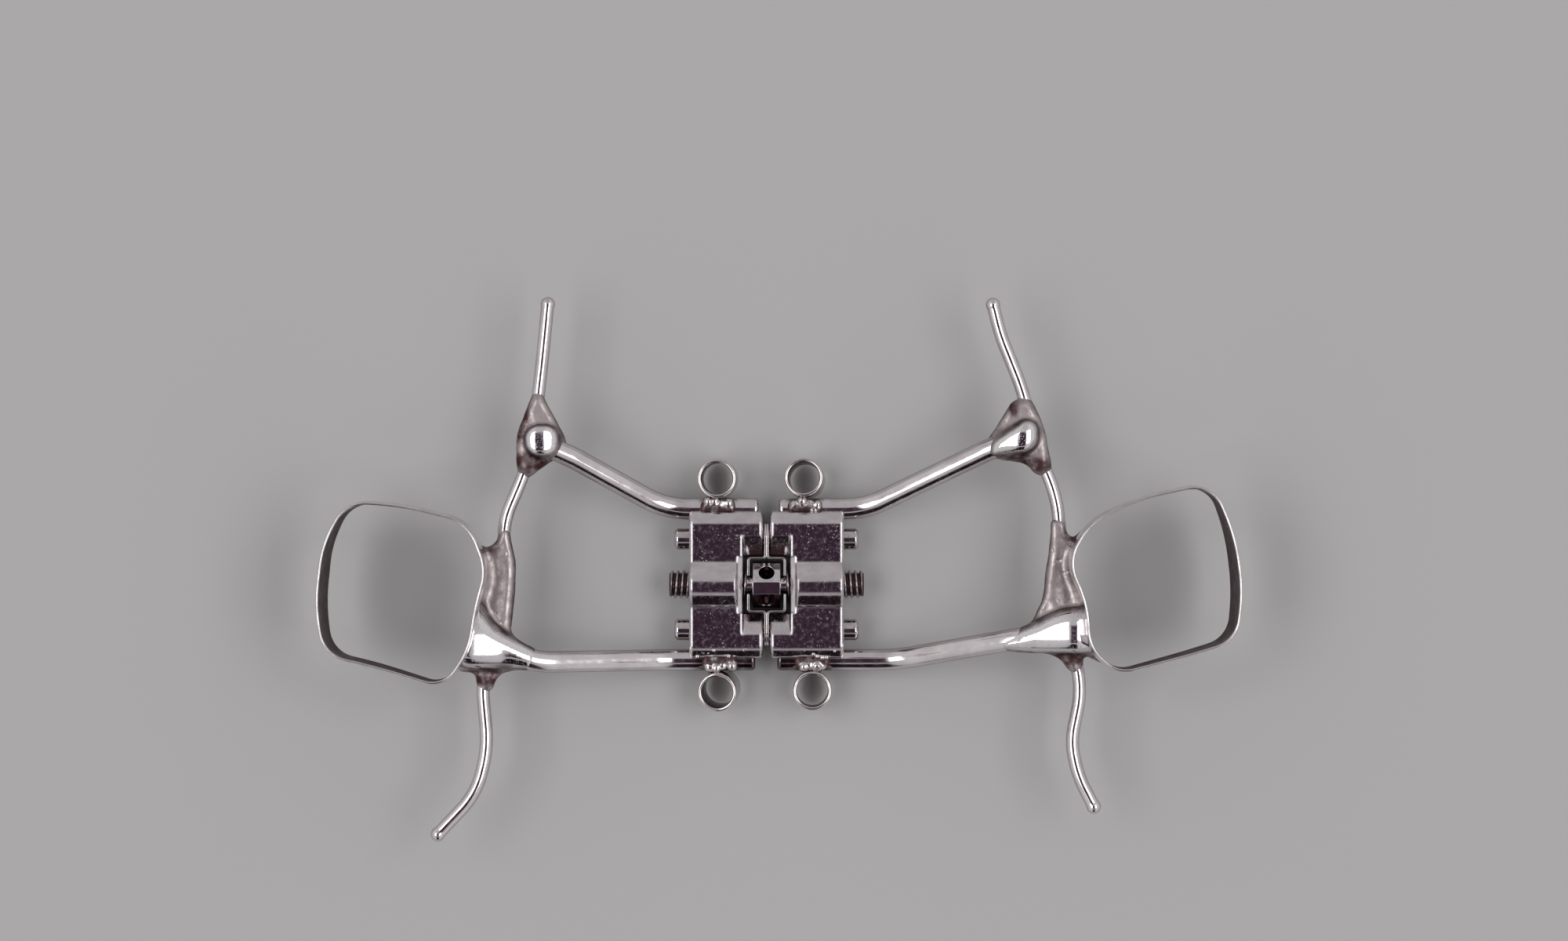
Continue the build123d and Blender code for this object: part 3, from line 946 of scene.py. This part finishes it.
def band_mesh(side):
    """A band as one closed skin: up its outside, over its rim, down its inside and round below."""
    outline, middle = band_outline(side)
    along = np.roll(outline, -1, axis=0) - np.roll(outline, 1, axis=0)
    outward = np.column_stack([along[:, 1], -along[:, 0]])
    outward /= np.linalg.norm(outward, axis=1)[:, None]
    if np.sum((outline - middle) * outward) < 0:
        outward = -outward
    rise = np.sqrt(FESTOON_RADIUS**2 - (outline[:, 1] - middle[1]) ** 2)
    lowest = BAND_LOW + FESTOON_RADIUS - rise
    half = BAND_WALL / 2
    rim = [(half * math.cos(turn), half * math.sin(turn)) for turn in BAND_RIM_TURNS]
    section = [(share, 0.0, 0.0) for share in np.linspace(0, 1, BAND_ROWS)]
    section += [(1.0, half - across, up) for across, up in rim]
    inside_start = len(section)
    section += [(share, BAND_WALL, 0.0) for share in np.linspace(1, 0, BAND_ROWS)]
    section += [(0.0, half + across, -up) for across, up in rim]
    rows = []
    for share, inset, lift in section:
        z = lowest + half + (BAND_HIGH - half - lowest - half) * share
        scale = band_scale(z)[:, None]
        flat = middle + (outline - middle) * scale - outward * inset
        rows.append(np.column_stack([flat, z + lift]))
    faces = ring_faces(len(rows), len(outline), closed=True)
    mesh = mesh_from(side + "_band", np.concatenate(rows), faces)
    # The inner wall takes the dark inside look: painted shade
    for face in mesh.polygons:
        face.material_index = int(face.index // len(outline) >= inside_start)
    return mesh


for side in ("left", "right"):
    node = side + "_band"
    mesh = band_mesh(side)
    place(node, "_strip", mesh, side + "_half", "band_steel", band_steel, band_inside_painted_shade)


# Solder joints
def thinned(line, centre, reach, radius):
    """Part of a wire's line near a joint, with radii that sink below its surface away from it."""
    near = line[np.linalg.norm(line - centre, axis=1) < reach + BEAD_FADE][::3]
    away = np.linalg.norm(near - centre, axis=1)
    sunk = BEAD_SINK * smoother((away - reach + BEAD_FADE) / BEAD_FADE)
    return near, radius + SOLDER_FILM - sunk


# Each joint's outline seen along Z, how far it reaches along bar and arm, its crown's outline,
# peak, falls (a slope and the run it turns over, to the left, to the right and in Y) and rounded
# rim, and its stained places with their reaches, darkened partly as oxide and partly as painted
# shade
JOINTS = {
    ("front", "left"): {
        "outline": [
            (-15.9, 13.8), (-17.35, 10.4), (-17.3, 8.4), (-16.5, 7.5), (-14.9, 8.6), (-13.7, 9.8),
            (-14.9, 12.1),
        ],
        "bar_reach": 3.0,
        "arm_reach": 1.6,
        "crown": [(-16.6, 11.1), (-14.3, 11.1), (-14.3, 9.0), (-16.6, 9.0)],
        "peak": (-15.68, 10.05, 5.5),
        "falls": [(0.86, 1.5), (0.86, 1.5), (0.5, 2.3)],
        "rim": 0.4,
        "stained": [
            ((-16.9, 11.2, 3.6), (0.7, 1.8, 1.2)),
            ((-16.3, 8.6, 3.6), (1.6, 0.8, 1.6)),
            ((-15.4, 9.0, 4.2), (1.1, 0.35, 0.9)),
        ],
    },
    ("front", "right"): {
        "outline": [
            (17.1, 12.9), (15.3, 10.0), (16.0, 8.75), (18.0, 8.45), (18.75, 7.6), (19.6, 8.2),
            (19.35, 10.9), (18.2, 12.9),
        ],
        "bar_reach": 3.1,
        "arm_reach": 2.4,
        "crown": [(17.9, 11.5), (18.7, 11.2), (18.6, 9.3), (15.4, 9.0), (15.6, 9.9)],
        "peak": (17.67, 10.3, 5.5),
        "falls": [(0.36, 0.55), (0.8, 1.1), (0.45, 1.4)],
        "rim": 0.5,
        "stained": [
            ((17.1, 12.4, 3.6), (0.4, 0.9, 1.2)),
            ((18.4, 8.4, 3.4), (1.7, 0.6, 1.6)),
            ((17.0, 9.0, 4.0), (1.6, 0.35, 0.9)),
        ],
    },
    ("rear", "left"): {
        "outline": [
            (-18.0, 4.4), (-18.7, 3.0), (-19.6, 2.5), (-21.0, 3.2), (-20.6, -1.0), (-21.6, -5.9),
            (-20.1, -6.05), (-19.6, -7.0), (-19.0, -7.2), (-18.6, -6.2), (-17.4, -5.75),
            (-16.4, -5.45), (-16.4, -4.7), (-17.75, -3.6), (-17.75, -1.0), (-17.4, 1.6),
        ],
        "bar_reach": 5.2,
        "arm_reach": 4.0,
        "crown": [
            (-19.8, -0.9), (-22.2, -0.9), (-22.2, -5.7), (-15.6, -5.7), (-15.6, -4.7),
            (-18.7, -2.8),
        ],
        "peak": (-21.2, -4.1, 6.15),
        "falls": [(0.3, 1.0), (0.3, 1.0), (0.5, 1.8)],
        "rim": 0.9,
        "stained": [
            ((-19.4, -6.3, 3.6), (1.9, 0.7, 1.8)),
            ((-19.3, 2.9, 3.6), (1.0, 0.8, 1.5)),
            ((-18.9, -5.4, 4.1), (2.6, 0.45, 1.2)),
        ],
    },
    ("rear", "right"): {
        "outline": [
            (19.7, 4.6), (20.6, 4.5), (20.8, 3.6), (21.3, 3.3), (22.8, 4.3), (22.4, -0.5),
            (23.7, -5.6), (22.1, -4.85), (21.65, -5.2), (21.5, -5.9), (20.9, -5.8), (20.4, -5.1),
            (19.3, -4.5), (17.6, -4.3), (17.3, -3.2), (18.3, -2.7), (19.3, -0.6), (19.65, 2.5),
        ],
        "bar_reach": 4.9,
        "arm_reach": 4.2,
        "crown": [
            (20.2, -1.5), (23.6, -1.5), (23.6, -4.6), (18.0, -4.6), (16.2, -4.4), (16.2, -3.7),
            (18.0, -2.9),
        ],
        "peak": (21.2, -3.1, 6.25),
        "falls": [(0.3, 0.4), (0.75, 0.8), (0.5, 1.6)],
        "rim": 0.8,
        "stained": [
            ((20.9, -5.0, 3.6), (1.9, 0.7, 1.8)),
            ((21.3, 3.6, 3.6), (0.9, 0.8, 1.5)),
            ((20.3, -4.4, 4.1), (2.4, 0.4, 1.1)),
        ],
    },
}


def joint_field(end, side, joint):
    """A pad of solder over the bar, with a crown over the arm's end; it meets the rear bands."""
    outline = rounded(joint["outline"], closed=True)[:-1]
    reach = np.array([1.0, 1.0, 0.0])
    low = np.append(outline.min(axis=0), 2.0) - reach
    high = np.append(outline.max(axis=0), 6.5) + reach
    field = Field(low, high)
    pad = field.pad(outline, PAD_MIDDLE, PAD_HALF_HEIGHT[end], PAD_ROUNDING[end])
    field.join(pad, SOFTNESS["pad"])
    centre = np.append(outline.mean(axis=0), BAR_Z)
    bar, bar_radii = thinned(bar_lines[side], centre, joint["bar_reach"], BAR_RADIUS)
    field.join(field.route(bar, bar_radii), SOFTNESS["bar"])
    arm_end = np.array(ARMS[end, side]["end"])
    arm, arm_radii = thinned(arm_lines[end, side], arm_end, joint["arm_reach"], ARM_RADIUS)
    field.join(field.route(arm, arm_radii), SOFTNESS["arm"])
    crown = rounded(joint["crown"], closed=True)[:-1]
    raised = field.crown(crown, joint["peak"], joint["falls"], joint["rim"])
    field.join(raised, SOFTNESS["crown"])
    if end == "rear":
        wall = field.outline(band_outline(side)[0])
        away = np.linalg.norm((field.points - centre) / FILM_REACH, axis=-1)
        film = wall + 0.2 * smoother((away - 0.52) / 0.28) - 0.02
        field.join(np.maximum(film, 2.0 * (away - 1.0)), SOFTNESS["film"])
        field.cut(wall + WALL_BITE)
    return field


def crown_polish(field, joint):
    """A function of points: 1 on top of a joint's crown, and nothing away from it."""
    crown = rounded(joint["crown"], closed=True)[:-1]
    inside = smoother(-field.outline(crown) / POLISH_EDGE)
    raised = smoother((field.points[..., 2] - POLISH_Z) / POLISH_RISE)
    return lambda points: field.at(inside * raised, points)


for (end, side), joint in JOINTS.items():
    node = f"{end}_{side}_solder"
    field = joint_field(end, side, joint)
    polish = crown_polish(field, joint)
    stained = joint["stained"]
    mesh = field_mesh(node, field, polish, depth=0.03, size=1.1, pits=0.3, stained=stained)
    place(node, "_joint", mesh, side + "_half", "solder", solder_look)


# Welds between the tubes and the arms: a burnt root with drops on it, and spatter at the rear
def weld_drops(middle, front):
    """A weld's drops as (place, size) pairs: a row by the tube, and two smaller ones inwards."""
    drops = []
    for along in (-0.7, -0.2, 0.35, 0.8):
        drift = rng.uniform(-0.14, 0.14, 3)
        size = rng.uniform(0.34, 0.47)
        offset = (along + drift[0], front * (0.12 + drift[1]), 0.12 + drift[2])
        drops.append((middle + offset, size))
    for along in (-0.4, 0.5):
        drift = rng.uniform(-0.15, 0.15, 3)
        drops.append((middle + (along + drift[0], -front * 0.35, 0.02 + drift[2]), 0.3))
    return drops


def spatter(middle, front):
    """Small drops thrown on the housing's shoulder beside a weld."""
    drops = []
    for along in rng.uniform(-1.9, 1.9, SPATTER_COUNT):
        inwards = rng.uniform(*SPATTER_IN)
        height = SHOULDER_Z - SHOULDER_SLOPE * (SPATTER_IN[1] - inwards)
        spot = np.array([middle[0] + along, front * (ARM_Y + WELD_STAND_OUT - inwards), height])
        drops.append((spot, rng.uniform(0.10, 0.19)))
    return drops


def weld_field(arm, middle, front, drops):
    """A weld's root and drops joined up, with the tube's place cut out of them."""
    field = Field(middle - (2.4, 1.7, 1.7), middle + (2.4, 1.7, 1.2), step=WELD_STEP)
    root = middle + (0, -0.22 * front, -0.12)
    reach = (ROOT_HALF_LENGTH, 0, 0)
    field.join(field.rod(root - reach, root + reach, ROOT_RADIUS, ROOT_RADIUS), 0.12)
    for spot, size in drops:
        field.join(field.rod(spot, spot - (0, 0, DROP_DEPTH), size, size), 0.08)
    lean_x, lean_y = arm["lean"]
    axis = np.array([-lean_x, -lean_y, TUBE_LENGTH]) * 1.2
    tube = np.array([arm["tube_x"], front * TUBE_Y, 0])
    radius = TUBE_RADIUS - WELD_BITE
    field.cut(field.rod(tube - axis, tube + axis, radius, radius))
    return field


rng = np.random.default_rng(7)
for (end, side), arm in ARMS.items():
    front = AHEAD[end]
    middle = np.array([arm["tube_x"], front * (ARM_Y + WELD_STAND_OUT), WELD_Z])
    drops = weld_drops(middle, front)
    if end == "rear":
        drops += spatter(middle, front)
    field = weld_field(arm, middle, front, drops)
    tops = [(spot + (0, 0, 0.6 * size), (size, size, 0.6 * size)) for spot, size in drops]
    node = f"{end}_{side}_tube_weld"
    mesh = field_mesh(node, field, lambda points: nearness(points, tops), depth=0.03, size=0.5)
    place(node, "_bead", mesh, side + "_half", "weld_metal", weld_look)


# Floor, light and camera
def floor():
    """A plain pale floor under the part."""
    half, z = 1500.0, cad_box[0].z / MM
    corners = [(-half, -half, z), (half, -half, z), (half, half, z), (-half, half, z)]
    ground = bpy.data.objects.new("floor", mesh_from("floor", corners, [(0, 1, 2, 3)]))
    bpy.context.scene.collection.objects.link(ground)
    made, shader = material("floor_look")
    surface = shader.node("ShaderNodeBsdfPrincipled")
    surface.inputs["Base Color"].default_value = (0.47, 0.466, 0.466, 1)
    surface.inputs["Roughness"].default_value = 0.9
    surface.inputs["Specular IOR Level"].default_value = 0.1
    output = shader.node("ShaderNodeOutputMaterial")
    shader.tree.links.new(surface.outputs["BSDF"], output.inputs["Surface"])
    ground.data.materials.append(made)


def softbox(name, side, radiance=2.6):
    """A large soft lamp to one side; the two leave a dark gap overhead."""
    distance, tilt, width, depth = 0.5, math.radians(31.5), 0.215, 0.36
    lamp = bpy.data.lights.new(name, "AREA")
    lamp.shape = "RECTANGLE"
    lamp.size, lamp.size_y = width, depth
    lamp.energy = radiance * math.pi * width * depth
    holder = bpy.data.objects.new(name, lamp)
    bpy.context.scene.collection.objects.link(holder)
    holder.location = (side * distance * math.sin(tilt), 0, distance * math.cos(tilt))
    holder.rotation_euler = (0, side * tilt, 0)


def studio():
    """A pale room: brighter to the sides, and dark straight overhead and behind."""
    world = bpy.data.worlds.new("studio")
    world.use_nodes = True
    shader = Shader(world.node_tree)
    source = shader.node("ShaderNodeTexCoord").outputs["Generated"]
    x, y, z = shader.parts(source)
    across = shader.math("ABSOLUTE", x)
    middle = shader.ease(across, 0.24, 0.33, 1.0, 0.0)
    ahead = shader.ease(y, 0.18, 0.28, 1.0, 0.0)
    behind = shader.ease(y, -0.62, -0.46, 0.0, 1.0)
    overhead = shader.math("MULTIPLY", shader.math("MULTIPLY", middle, ahead), behind)
    overhead = shader.math("MULTIPLY", overhead, shader.ease(z, 0.1, 0.3))
    rear = shader.ease(y, -0.72, -0.66, 1.0, 0.0)
    rear = shader.math("MULTIPLY", rear, shader.ease(across, 0.18, 0.30, 1.0, 0.0))
    room = shader.blend(shader.ease(across, 0.2, 0.6), (0.47, 0.45, 0.455), (0.62, 0.60, 0.605))
    colour = shader.blend(overhead, room, (0.042, 0.021, 0.038))
    colour = shader.blend(rear, colour, (0.014, 0.007, 0.011))
    background = shader.node("ShaderNodeBackground")
    shader.wire(background.inputs["Color"], colour)
    output = shader.node("ShaderNodeOutputWorld")
    shader.tree.links.new(background.outputs[0], output.inputs["Surface"])
    bpy.context.scene.world = world


def camera():
    """The photograph's view: straight down from well above."""
    lens = bpy.data.cameras.new("camera")
    lens.sensor_width = 36.0
    lens.lens = lens.sensor_width * CAMERA_AT[2] / WIDTH_AT_SCREW
    lens.clip_start, lens.clip_end = 0.01, 10.0
    holder = bpy.data.objects.new("camera", lens)
    bpy.context.scene.collection.objects.link(holder)
    holder.location = [axis * MM for axis in CAMERA_AT]
    bpy.context.scene.camera = holder


floor()
softbox("softbox_left", -1)
softbox("softbox_right", 1)
studio()
camera()
bpy.context.scene.view_settings.view_transform = "Standard"
